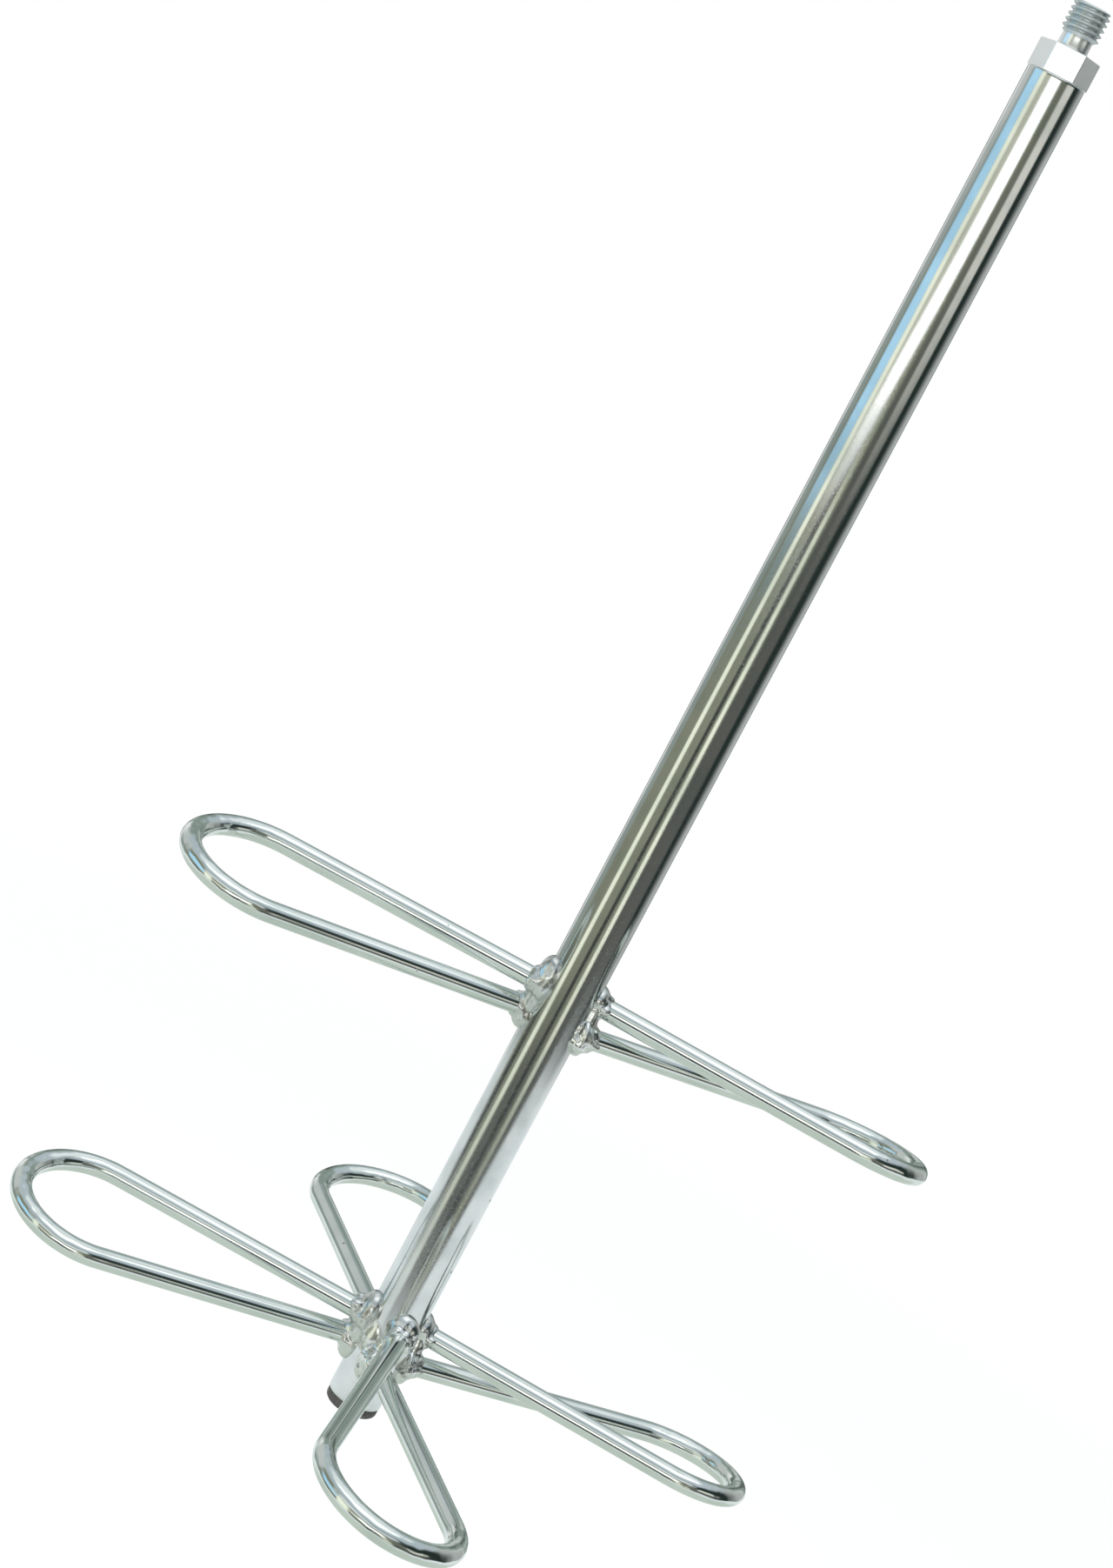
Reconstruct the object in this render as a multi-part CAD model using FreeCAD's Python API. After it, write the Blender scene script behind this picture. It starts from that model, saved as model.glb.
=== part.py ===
import FreeCAD, Part

import math
import os

from FreeCAD import Vector

# Stirrer shaft: a zinc-plated steel tube with six bent-rod stirring loops welded to it.
# All sizes are in millimetres. The origin is the centre of the lower end face and +Z runs up the
# shaft, so the threaded stud that the drive holds is at the top.

# Shaft tube
TUBE_OUTER_DIAMETER = 21.3
TUBE_WALL = 2.65
TUBE_LENGTH = 540.0
TUBE_EDGE_CHAMFER = 0.4

# Threaded adapter in the top of the tube
HEX_ACROSS_FLATS = 19.5
HEX_HEIGHT = 10.0
HEX_EDGE_CHAMFER = 0.3
HEX_TURN_DEG = -12.7
NECK_DIAMETER = 11.0
NECK_LENGTH = 5.0
STUD_DIAMETER = 14.0
STUD_LENGTH = 11.0
STUD_CHAMFER = 0.9
SPIGOT_LENGTH = 16.0
SPIGOT_CHAMFER = 1.2
SPIGOT_CLEARANCE = 0.05

# End plug in the foot of the tube
PLUG_FLANGE_DIAMETER = 20.6
PLUG_FLANGE_HEIGHT = 4.0
PLUG_FLANGE_CHAMFER = 0.8
PLUG_INSERT_LENGTH = 14.0
PLUG_WALL = 1.8
PLUG_RIB_COUNT = 3
PLUG_RIB_WIDTH = 1.2
PLUG_RIB_REACH = 1.2
PLUG_CLEARANCE = 0.05

# Stirring loops, each bent from one rod
ROD_DIAMETER = 8.0
LOOP_REACH = 148.0
LOOP_HALF_WIDTH = 27.0
LOOP_END_TILT_DEG = 7.7
LEG_SPACING = 12.0
LEG_OFFSET = 2.5
LOWER_TIER_HEIGHT = 27.0
UPPER_TIER_HEIGHT = 171.5

# Weld beads, one round each leg of each loop
BEAD_LENGTH = 6.5
BEAD_END_EDGE = 0.7
BEAD_SIDE_FILLET = 1.3
BEAD_LUMP = 0.25
BEAD_STATIONS = 5
BEAD_POINTS = 14

# Each loop: name, height above the tube's foot, direction in degrees from +X, and how far its
# upper and lower beads climb along the tube beyond the rod.
LOOPS = [
    ("lower_right", LOWER_TIER_HEIGHT, 0.0, 4.0, 4.0),
    ("lower_back", LOWER_TIER_HEIGHT, 90.0, 5.0, 4.5),
    ("lower_left", LOWER_TIER_HEIGHT, 180.0, 5.5, 5.0),
    ("lower_front", LOWER_TIER_HEIGHT, 270.0, 5.0, 5.5),
    ("upper_right", UPPER_TIER_HEIGHT, 0.0, 3.0, 3.5),
    ("upper_left", UPPER_TIER_HEIGHT, 180.0, 7.0, 4.0),
]

# Levels and radii that follow from the sizes above
TUBE_RADIUS = TUBE_OUTER_DIAMETER / 2
TUBE_BORE_RADIUS = TUBE_RADIUS - TUBE_WALL
TUBE_FOOT = PLUG_FLANGE_HEIGHT
TUBE_TOP = TUBE_FOOT + TUBE_LENGTH
SHOULDER = TUBE_TOP + HEX_HEIGHT
STUD_FOOT = SHOULDER + NECK_LENGTH
STUD_TIP = STUD_FOOT + STUD_LENGTH
ROD_RADIUS = ROD_DIAMETER / 2
UP = Vector(0, 0, 1)


def revolved(profile):
    """Turn a closed outline of (radius, height) points about the shaft's axis."""
    points = [Vector(radius, 0, height) for radius, height in profile]
    outline = Part.makePolygon(points + points[:1])
    return Part.Face(outline).revolve(Vector(0, 0, 0), UP, 360)


def make_tube():
    """Plain tube with a light chamfer on both outer edges."""
    edge = TUBE_EDGE_CHAMFER
    return revolved([
        (TUBE_BORE_RADIUS, TUBE_FOOT),
        (TUBE_RADIUS - edge, TUBE_FOOT),
        (TUBE_RADIUS, TUBE_FOOT + edge),
        (TUBE_RADIUS, TUBE_TOP - edge),
        (TUBE_RADIUS - edge, TUBE_TOP),
        (TUBE_BORE_RADIUS, TUBE_TOP),
    ])


def make_hexagon():
    """Hexagonal spanner collar that sits on the top of the tube."""
    corner_radius = HEX_ACROSS_FLATS / math.sqrt(3)
    corners = []
    for index in range(6):
        # At no turn one flat faces -Y, so the corners lie at multiples of 60 degrees.
        angle = math.radians(60 * index + HEX_TURN_DEG)
        corners.append(Vector(corner_radius * math.cos(angle), corner_radius * math.sin(angle), TUBE_TOP))
    prism = Part.Face(Part.makePolygon(corners + corners[:1])).extrude(UP * HEX_HEIGHT)
    rim_edges = [edge for edge in prism.Edges if abs(edge.tangentAt(edge.FirstParameter).z) < 0.5]
    return prism.makeChamfer(HEX_EDGE_CHAMFER, rim_edges)


def make_adapter():
    """One turned piece: spigot in the tube, hexagon, plain neck and stud."""
    spigot_radius = TUBE_BORE_RADIUS - SPIGOT_CLEARANCE
    neck_radius = NECK_DIAMETER / 2
    stud_radius = STUD_DIAMETER / 2
    mid_hex = TUBE_TOP + HEX_HEIGHT / 2
    spigot = revolved([
        (0, TUBE_TOP - SPIGOT_LENGTH),
        (spigot_radius - SPIGOT_CHAMFER, TUBE_TOP - SPIGOT_LENGTH),
        (spigot_radius, TUBE_TOP - SPIGOT_LENGTH + SPIGOT_CHAMFER),
        (spigot_radius, mid_hex),
        (0, mid_hex),
    ])
    stud = revolved([
        (0, mid_hex),
        (neck_radius, mid_hex),
        (neck_radius, STUD_FOOT),
        (stud_radius - STUD_CHAMFER, STUD_FOOT),
        (stud_radius, STUD_FOOT + STUD_CHAMFER),
        (stud_radius, STUD_TIP - STUD_CHAMFER),
        (stud_radius - STUD_CHAMFER, STUD_TIP),
        (0, STUD_TIP),
    ])
    return make_hexagon().multiFuse([spigot, stud]).removeSplitter()


def make_plug():
    """Moulded plug: a chamfered flange under the tube and a hollow ribbed insert in its bore."""
    rib_radius = TUBE_BORE_RADIUS - PLUG_CLEARANCE
    core_radius = rib_radius - PLUG_RIB_REACH
    flange_radius = PLUG_FLANGE_DIAMETER / 2
    insert_top = TUBE_FOOT + PLUG_INSERT_LENGTH
    rib_pitch = PLUG_INSERT_LENGTH / (PLUG_RIB_COUNT + 1)
    body = revolved([
        (0, 0),
        (flange_radius - PLUG_FLANGE_CHAMFER, 0),
        (flange_radius, PLUG_FLANGE_CHAMFER),
        (flange_radius, TUBE_FOOT),
        (core_radius, TUBE_FOOT),
        (core_radius, insert_top),
        (core_radius - PLUG_WALL, insert_top),
        (core_radius - PLUG_WALL, TUBE_FOOT),
        (0, TUBE_FOOT),
    ])
    ribs = []
    for index in range(PLUG_RIB_COUNT):
        level = TUBE_FOOT + rib_pitch * (index + 1)
        # Each rib leans back, so that the plug goes in and does not come out.
        ribs.append(revolved([
            (core_radius - PLUG_WALL / 2, level - PLUG_RIB_WIDTH),
            (core_radius, level - PLUG_RIB_WIDTH),
            (rib_radius, level - PLUG_RIB_WIDTH / 2),
            (rib_radius, level),
            (core_radius - PLUG_WALL / 2, level),
        ]))
    return body.multiFuse(ribs).removeSplitter()


def leg_slope():
    """Sideways run of a leg for each millimetre outwards, seen from above.

    The leg is the tangent from its root on the tube to the round end of the loop.
    """
    centre = LOOP_REACH - LOOP_HALF_WIDTH
    run = centre - TUBE_RADIUS
    root_distance = math.hypot(run, LEG_OFFSET)
    to_centre = math.atan2(LEG_OFFSET, run)
    to_tangent = math.asin(LOOP_HALF_WIDTH / root_distance)
    return math.tan(to_centre + to_tangent)


def leg_line(side):
    """Root and outer corner of a leg's centre line: side 1 is the upper leg, -1 the lower one."""
    slope = leg_slope()
    corner_y = -side * (slope * (LOOP_REACH - TUBE_RADIUS) - LEG_OFFSET)
    corner_z = -corner_y * math.tan(math.radians(LOOP_END_TILT_DEG))
    root = Vector(TUBE_RADIUS, side * LEG_OFFSET, side * LEG_SPACING / 2)
    corner = Vector(LOOP_REACH, corner_y, corner_z)
    return root, corner


def point_on_leg(side, x):
    """Point of a leg's centre line at distance x from the shaft's axis."""
    root, corner = leg_line(side)
    return root + (corner - root) * ((x - root.x) / (corner.x - root.x))


def bend(start, corner, end):
    """Arc tangent to start-corner and corner-end that begins at start."""
    into = (corner - start).normalize()
    away = (end - corner).normalize()
    half_turn = into.getAngle(away) / 2
    tangent_length = (corner - start).Length
    radius = tangent_length / math.tan(half_turn)
    inwards = (away - into).normalize()
    centre = corner + inwards * (radius / math.cos(half_turn))
    middle = centre - inwards * radius
    return Part.Arc(start, middle, corner + away * tangent_length).toShape()


def make_rod():
    """One loop along +X at height zero: two straight legs and two bends that meet at its tip."""
    start_x = math.sqrt(TUBE_RADIUS ** 2 - (LEG_OFFSET + ROD_RADIUS) ** 2) - ROD_RADIUS / 2
    upper_root, upper_corner = leg_line(1)
    lower_root, lower_corner = leg_line(-1)
    tip = (upper_corner + lower_corner) * 0.5
    tangent_length = (tip - upper_corner).Length
    upper_start = point_on_leg(1, start_x)
    lower_start = point_on_leg(-1, start_x)
    upper_turn = upper_corner + (upper_root - upper_corner).normalize() * tangent_length
    lower_turn = lower_corner + (lower_root - lower_corner).normalize() * tangent_length
    path = Part.Wire([
        Part.LineSegment(upper_start, upper_turn).toShape(),
        bend(upper_turn, upper_corner, tip),
        bend(tip, lower_corner, lower_turn),
        Part.LineSegment(lower_turn, lower_start).toShape(),
    ])
    section = Part.Wire([Part.makeCircle(ROD_RADIUS, upper_start, upper_turn - upper_start)])
    return path.makePipeShell([section], True, False)


def bead_section(side, x, climb, phase):
    """Closed outline of a bead in the plane at distance x from the shaft's axis.

    The bead is widest on the tube and shrinks along the leg like a concave fillet.
    """
    centre = point_on_leg(side, x)
    along = (x - TUBE_RADIUS) / BEAD_LENGTH
    flare = (1 - along) ** 2
    outer = ROD_RADIUS + BEAD_END_EDGE + climb * flare
    beside = ROD_RADIUS + BEAD_END_EDGE + BEAD_SIDE_FILLET * flare
    inner = LEG_SPACING / 2 + ROD_RADIUS / 2
    points = []
    for index in range(BEAD_POINTS):
        angle = 2 * math.pi * index / BEAD_POINTS
        lean = math.cos(angle)
        target = outer if lean > 0 else inner
        radius = beside + (target - beside) * lean ** 2
        radius += BEAD_LUMP * math.sin(3 * angle + phase + 4 * along)
        points.append(Vector(x, centre.y + radius * math.sin(angle), centre.z + side * radius * lean))
    curve = Part.BSplineCurve()
    curve.interpolate(points, PeriodicFlag=True)
    return Part.Wire([curve.toShape()])


def make_bead(side, climb, phase, rod, tube_core):
    """Weld bead round one leg, between the tube's skin and the middle of the loop."""
    inner_x = TUBE_RADIUS * 0.68
    outer_x = TUBE_RADIUS + BEAD_LENGTH
    sections = []
    for index in range(BEAD_STATIONS):
        x = inner_x + (outer_x - inner_x) * index / (BEAD_STATIONS - 1)
        sections.append(bead_section(side, x, climb, phase))
    lump = Part.makeLoft(sections, True, False)
    # The beads of one loop meet halfway between its legs, and those of two neighbouring loops
    # meet halfway between the loops, so each keeps to a quarter of the circle and to its own side.
    reach = 2 * outer_x
    quarter = Part.Face(Part.makePolygon([
        Vector(0, 0, 0),
        Vector(reach, -reach, 0),
        Vector(reach, reach, 0),
        Vector(0, 0, 0),
    ])).extrude(Vector(0, 0, side * reach))
    return lump.common(quarter).cut(tube_core).cut(rod)


def placed(shape, height, direction):
    """Copy of a shape made along +X at height zero, turned about the shaft and lifted to its tier."""
    copy = shape.copy()
    copy.rotate(Vector(0, 0, 0), UP, direction)
    copy.translate(Vector(0, 0, TUBE_FOOT + height))
    return copy


def make_loops():
    """Every loop and its two weld beads, as a dictionary of named solids."""
    rod = make_rod()
    core_length = 4 * LEG_SPACING + 4 * ROD_DIAMETER
    tube_core = Part.makeCylinder(TUBE_RADIUS, core_length, Vector(0, 0, -core_length / 2), UP)
    coped_rod = rod.cut(tube_core)
    pieces = {}
    for index, (name, height, direction, upper_climb, lower_climb) in enumerate(LOOPS):
        upper_bead = make_bead(1, upper_climb, 1.7 * index, rod, tube_core)
        lower_bead = make_bead(-1, lower_climb, 1.7 * index + 0.9, rod, tube_core)
        pieces[name + "_loop"] = placed(coped_rod, height, direction)
        pieces[name + "_top_weld"] = placed(upper_bead, height, direction)
        pieces[name + "_bottom_weld"] = placed(lower_bead, height, direction)
    return pieces


def make_parts():
    """All pieces of the shaft by node name."""
    pieces = {
        "shaft_tube": make_tube(),
        "threaded_adapter": make_adapter(),
        "end_plug": make_plug(),
    }
    pieces.update(make_loops())
    return pieces


os.makedirs("parts", exist_ok=True)
for node_name, piece in make_parts().items():
    solid = piece.Solids[0] if len(piece.Solids) == 1 else piece
    solid.exportStep(os.path.join("parts", node_name + ".step"))
    print(node_name, "valid" if solid.isValid() else "invalid", len(piece.Solids), "solid", round(solid.Volume, 1))
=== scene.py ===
import logging
import math
import random
from dataclasses import dataclass, field
from enum import Enum
from typing import Any

import bpy
from mathutils import Matrix, Vector, noise


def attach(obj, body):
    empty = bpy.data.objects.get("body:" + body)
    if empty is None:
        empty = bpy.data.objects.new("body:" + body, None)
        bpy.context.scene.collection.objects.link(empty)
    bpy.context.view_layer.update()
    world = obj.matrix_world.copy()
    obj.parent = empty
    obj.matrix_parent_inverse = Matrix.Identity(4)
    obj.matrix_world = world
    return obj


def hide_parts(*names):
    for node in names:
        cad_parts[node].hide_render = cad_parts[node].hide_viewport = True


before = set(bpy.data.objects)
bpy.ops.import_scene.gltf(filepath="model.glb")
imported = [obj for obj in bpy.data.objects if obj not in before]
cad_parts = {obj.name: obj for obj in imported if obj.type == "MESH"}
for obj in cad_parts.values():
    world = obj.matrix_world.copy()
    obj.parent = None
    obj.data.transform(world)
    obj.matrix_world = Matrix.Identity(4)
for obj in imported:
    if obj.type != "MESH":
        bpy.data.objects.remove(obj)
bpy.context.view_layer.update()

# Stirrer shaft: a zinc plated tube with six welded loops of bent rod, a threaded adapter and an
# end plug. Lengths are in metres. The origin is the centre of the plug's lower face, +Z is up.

LOG = logging.getLogger("stirrer_shaft")
UP = Vector((0.0, 0.0, 1.0))
ONE_POINT = 2e-6  # metres: points of a finished piece that are closer are made one
THREAD_POINT = 1e-6  # metres: the same while the fine thread is wound
TURNED_SIDES = 96  # points round each turned piece
DEGREES = 57.29578  # degrees in one radian
Colour = tuple[float, float, float]


class Leg(Enum):
    """The two legs of a loop, with the side of the mid-plane that each leaves the tube on."""

    UPPER = 1
    LOWER = -1


class Bench:
    """The modelling moves that the pieces share, each made of plain Blender operators."""

    @staticmethod
    def clear() -> None:
        """Leaves edit mode and deselects everything."""
        if bpy.context.object is not None and bpy.context.object.mode != "OBJECT":
            bpy.ops.object.mode_set(mode="OBJECT")
        bpy.ops.object.select_all(action="DESELECT")

    @staticmethod
    def choose(piece: bpy.types.Object) -> None:
        """Makes a piece the only selected object, and the active one."""
        Bench.clear()
        piece.select_set(True)
        bpy.context.view_layer.objects.active = piece

    @staticmethod
    def modifier(piece: bpy.types.Object, kind: str, **settings: Any) -> None:
        """Adds one modifier to a piece and applies it.

        Args:
            piece: The object to change.
            kind: Blender's name of the modifier.
            **settings: The modifier's own settings.
        """
        Bench.choose(piece)
        made = piece.modifiers.new(kind.title(), kind)
        for name, value in settings.items():
            setattr(made, name, value)
        bpy.ops.object.modifier_apply(modifier=made.name)

    @staticmethod
    def join(name: str, parts: list[bpy.types.Object]) -> bpy.types.Object:
        """Joins several objects into one.

        Args:
            name: The name of the joined piece.
            parts: What is joined, the first of them kept.

        Returns:
            The joined object.
        """
        Bench.choose(parts[0])
        for part in parts:
            part.select_set(True)
        if len(parts) > 1:
            bpy.ops.object.join()
        made = bpy.context.object
        made.name = name
        return made

    @staticmethod
    def settle(piece: bpy.types.Object, smooth_deg: float | None = 35.0) -> bpy.types.Object:
        """Puts a piece's place into its mesh, points its faces outwards and smooths its shading.

        Args:
            piece: The object to finish.
            smooth_deg: Faces that meet at less than this angle are shaded as one surface, and
                None leaves the shading as it is.

        Returns:
            The same object.
        """
        Bench.choose(piece)
        bpy.ops.object.transform_apply(location=True, rotation=True, scale=True)
        bpy.ops.object.mode_set(mode="EDIT")
        bpy.ops.mesh.select_all(action="SELECT")
        bpy.ops.mesh.remove_doubles(threshold=ONE_POINT)
        bpy.ops.mesh.normals_make_consistent(inside=False)
        bpy.ops.object.mode_set(mode="OBJECT")
        if smooth_deg is not None:
            bpy.ops.object.shade_smooth_by_angle(angle=math.radians(smooth_deg))
        return piece

    @staticmethod
    def slice(piece: bpy.types.Object, heights: list[float]) -> None:
        """Cuts rings of points into a piece at some heights, so that its flanks shade truly.

        Args:
            piece: The object to cut.
            heights: Where the rings go along +Z.
        """
        Bench.choose(piece)
        bpy.ops.object.mode_set(mode="EDIT")
        for height in heights:
            bpy.ops.mesh.select_all(action="SELECT")
            bpy.ops.mesh.bisect(plane_co=(0.0, 0.0, height), plane_no=(0.0, 0.0, 1.0))
        bpy.ops.object.mode_set(mode="OBJECT")

    @staticmethod
    def turned(name: str, profile: list[tuple[float, float]], sides: int) -> bpy.types.Object:
        """Turns a solid about the shaft's axis, ring by ring.

        Args:
            name: The name of the piece.
            profile: Radius and height of each ring from the lower end to the upper one.
            sides: How many points each ring has.

        Returns:
            A closed solid of revolution.
        """
        Bench.clear()
        radius, height = profile[0]
        bpy.ops.mesh.primitive_circle_add(
            vertices=sides, radius=radius, fill_type="NGON", location=(0.0, 0.0, height)
        )
        made = bpy.context.object
        made.name = name
        bpy.ops.object.transform_apply(location=True)
        bpy.ops.object.mode_set(mode="EDIT")
        bpy.ops.mesh.select_all(action="SELECT")
        for next_radius, next_height in profile[1:]:
            bpy.ops.mesh.extrude_region_move(
                TRANSFORM_OT_translate={"value": (0.0, 0.0, next_height - height)}
            )
            ratio = next_radius / radius
            bpy.ops.transform.resize(value=(ratio, ratio, 1.0))
            radius, height = next_radius, next_height
        bpy.ops.object.mode_set(mode="OBJECT")
        return made

    @staticmethod
    def lump(
        at: Vector, half: tuple[float, float, float], turn: tuple[float, float, float] = (0, 0, 0)
    ) -> bpy.types.Object:
        """Adds a rounded lump, which a remesh later melts into its neighbours.

        Args:
            at: The lump's middle.
            half: Its half lengths.
            turn: Its turn about X, Y and Z in radians.

        Returns:
            The lump.
        """
        Bench.clear()
        bpy.ops.mesh.primitive_uv_sphere_add(
            segments=20, ring_count=12, radius=1.0, location=at, rotation=turn, scale=half
        )
        return bpy.context.object


class Sock:
    """A shader socket, or a number, that Python's operators work on by adding Math nodes."""

    def __init__(self, shader: "Shader", value: Any) -> None:
        """Keeps the node tree and the socket or number."""
        self.shader = shader
        self.value = value

    def _math(self, operation: str, *operands: Any) -> "Sock":
        """Adds a Math node on the operands and returns its result."""
        inputs = {index: operand for index, operand in enumerate(operands)}
        return self.shader.node("ShaderNodeMath", {"operation": operation}, inputs)[0]

    def __add__(self, other: Any) -> "Sock":
        """Sum."""
        return self._math("ADD", self, other)

    __radd__ = __add__

    def __sub__(self, other: Any) -> "Sock":
        """Difference."""
        return self._math("SUBTRACT", self, other)

    def __rsub__(self, other: Any) -> "Sock":
        """Difference from the left operand."""
        return self._math("SUBTRACT", other, self)

    def __mul__(self, other: Any) -> "Sock":
        """Product."""
        return self._math("MULTIPLY", self, other)

    __rmul__ = __mul__

    def __pow__(self, other: Any) -> "Sock":
        """Power."""
        return self._math("POWER", self, other)

    def between(self, low: float, high: float) -> "Sock":
        """A smooth step that is 0 at low and 1 at high, or the other way round."""
        if low > high:
            return 1.0 - self.between(high, low)
        settings = {"interpolation_type": "SMOOTHSTEP"}
        inputs = {"Value": self, "From Min": low, "From Max": high}
        return self.shader.node("ShaderNodeMapRange", settings, inputs)["Result"]

    def band(self, start: float, end: float, soft: float) -> "Sock":
        """A soft-edged band that is 1 from start to end."""
        return self.between(start - soft, start + soft) * self.between(end + soft, end - soft)


class Outputs:
    """The outputs of a node, by number or name, each as a Sock."""

    def __init__(self, shader: "Shader", made: bpy.types.Node) -> None:
        """Keeps the node."""
        self.shader = shader
        self.made = made

    def __getitem__(self, key: int | str) -> Sock:
        """One output."""
        return Sock(self.shader, self.made.outputs[key])


class Shader:
    """A node tree that is being written."""

    def __init__(self, tree: bpy.types.NodeTree) -> None:
        """Empties a node tree and keeps it."""
        self.tree = tree
        tree.nodes.clear()

    def node(self, kind: str, settings: dict[str, Any], inputs: dict[Any, Any]) -> Outputs:
        """Adds any node.

        Args:
            kind: The node's type.
            settings: Its settings, set before its inputs.
            inputs: Values or links for its sockets, by name or number.

        Returns:
            The node's outputs.
        """
        made = self.tree.nodes.new(kind)
        for name, value in settings.items():
            setattr(made, name, value)
        for key, value in inputs.items():
            if isinstance(value, Sock):
                value = value.value
            if isinstance(value, bpy.types.NodeSocket):
                self.tree.links.new(value, made.inputs[key])
            else:
                made.inputs[key].default_value = value
        return Outputs(self, made)

    def mix(self, factor: Any, low: Any, high: Any) -> Sock:
        """Blends two colours.

        Args:
            factor: 0 gives low and 1 gives high.
            low: A colour or a colour socket.
            high: A colour or a colour socket.

        Returns:
            The blended colour.
        """
        low = (*low, 1.0) if isinstance(low, tuple) else low
        high = (*high, 1.0) if isinstance(high, tuple) else high
        made = self.node("ShaderNodeMix", {"data_type": "RGBA"}, {0: factor, 6: low, 7: high})
        return made[2]

    def point(self) -> Sock:
        """Object coordinates."""
        return self.node("ShaderNodeTexCoord", {}, {})["Object"]

    def axes(self, vector: Sock) -> Outputs:
        """The X, Y and Z of a vector."""
        return self.node("ShaderNodeSeparateXYZ", {}, {"Vector": vector})

    def place(self, scale: tuple[float, float, float]) -> Sock:
        """Object coordinates, stretched by a scale for each axis."""
        return self.node("ShaderNodeMapping", {}, {"Vector": self.point(), "Scale": scale})[0]

    def noise(self, at: Sock, scale: float, detail: float = 2.0, rough: float = 0.5) -> Sock:
        """Smooth noise from 0 to 1."""
        inputs = {"Vector": at, "Scale": scale, "Detail": detail, "Roughness": rough}
        return self.node("ShaderNodeTexNoise", {}, inputs)["Fac"]

    def cells(self, at: Sock, scale: float) -> Sock:
        """Distance to the nearest of scattered points."""
        return self.node("ShaderNodeTexVoronoi", {}, {"Vector": at, "Scale": scale})["Distance"]

    def bump(self, height: Sock, distance: float, under: Sock | None = None) -> Sock:
        """Turns a height into a surface normal.

        Args:
            height: The relief, from 0 to 1.
            distance: What 1 stands for, in metres.
            under: A normal that this relief is laid over.

        Returns:
            The normal.
        """
        inputs = {"Height": height, "Distance": distance}
        if under is not None:
            inputs["Normal"] = under
        return self.node("ShaderNodeBump", {}, inputs)[0]


@dataclass(frozen=True)
class Zinc:
    """Bright zinc plating on steel, with what the surface under it was like.

    Depths are in metres and say how deep each kind of mark is, and 0 leaves it out. Scales say
    how many marks go on a metre. Above dull_above, a height in metres, the plating is duller.
    """

    name: str
    tint: Colour = (0.80, 0.815, 0.805)
    shade: Colour = (0.66, 0.69, 0.68)
    metal: float = 1.0
    roughness_low: float = 0.08
    roughness_high: float = 0.12
    cloud_scale: float = 45.0
    grain_roughness: float = 0.10
    speckle_scale: float = 2200.0
    speckle_depth: float = 0.0000012
    speckle_tint: Colour = (0.92, 0.93, 0.92)
    streak_scale: float = 1400.0
    streak_squash: float = 0.012
    streak_depth: float = 0.0
    lump_scale: float = 400.0
    lump_depth: float = 0.0
    lump_roughness: float = 0.12
    # Painted shade with a weld tint: a warm dark brown laid into the hollows of the lump relief
    hollow_tint_and_shade: Colour = (0.22, 0.20, 0.16)
    pit_scale: float = 60.0
    pit_share: float = 0.05
    pit_depth: float = 0.00004
    pit_tint: Colour = (0.10, 0.09, 0.08)
    pit_roughness: float = 0.3
    dent_scale: float = 130.0
    dent_depth: float = 0.0
    dents_from: float = 0.112
    dents_full: float = 0.126
    dull_above: float = 0.0
    dull_fade: float = 0.0005
    dull_tint: Colour = (0.60, 0.64, 0.645)
    dull_roughness: float = 0.10

    def material(self) -> bpy.types.Material:
        """Builds the material and returns it."""
        made = bpy.data.materials.new(self.name)
        made.use_nodes = True
        shader = Shader(made.node_tree)
        plain = shader.place((1.0, 1.0, 1.0))
        clouds = shader.noise(plain, self.cloud_scale, 3.0)
        grain = shader.noise(plain, self.speckle_scale, 2.0, 0.6)
        pits = shader.cells(plain, self.pit_scale).between(self.pit_share, self.pit_share * 0.4)
        worn = clouds.between(0.35, 0.7)
        colour = shader.mix(worn, self.tint, self.shade)
        colour = shader.mix(grain.between(0.60, 0.78) * 0.15, colour, self.speckle_tint)
        colour = shader.mix(pits * 0.8, colour, self.pit_tint)
        rough = self.roughness_low + worn * (self.roughness_high - self.roughness_low)
        rough = rough + grain.between(0.52, 0.72) * self.grain_roughness
        rough = rough + pits * self.pit_roughness
        normal = None
        if self.speckle_depth:
            normal = shader.bump(grain, self.speckle_depth)
        if self.streak_depth:
            streaks = shader.noise(shader.place((1.0, 1.0, self.streak_squash)), self.streak_scale)
            normal = shader.bump(streaks, self.streak_depth, normal)
        if self.lump_depth:
            lumps = shader.noise(plain, self.lump_scale, 2.0, 0.4)
            normal = shader.bump(lumps, self.lump_depth, normal)
            rough = rough + lumps.between(0.5, 0.7) * self.lump_roughness
            # Painted shade in the weld's hollows: where the lump relief is low the colour darkens
            # to a warm brown, part weld tint and part painted shade
            colour = shader.mix(lumps.between(0.42, 0.30) * 0.5, colour, self.hollow_tint_and_shade)
        if self.dull_above:
            height = shader.axes(shader.point())["Z"]
            low, high = self.dull_above - self.dull_fade, self.dull_above + self.dull_fade
            dull = height.between(low, high)
            colour = shader.mix(dull, colour, self.dull_tint)
            rough = rough + dull * self.dull_roughness
        if self.dent_depth:
            dents = shader.noise(plain, self.dent_scale, 1.0)
            normal = shader.bump(dents * self._bend_mask(shader), self.dent_depth, normal)
        normal = shader.bump(pits * -1.0, self.pit_depth, normal)
        bsdf = shader.node(
            "ShaderNodeBsdfPrincipled",
            {},
            {"Base Color": colour, "Roughness": rough, "Metallic": self.metal, "Normal": normal},
        )
        shader.node("ShaderNodeOutputMaterial", {}, {"Surface": bsdf[0]})
        return made

    def _bend_mask(self, shader: Shader) -> Sock:
        """1 on the bends at the far end of each loop, 0 on its legs."""
        axes = shader.axes(shader.point())
        out = (axes["X"] ** 2.0 + axes["Y"] ** 2.0) ** 0.5
        return out.between(self.dents_from, self.dents_full)


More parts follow.
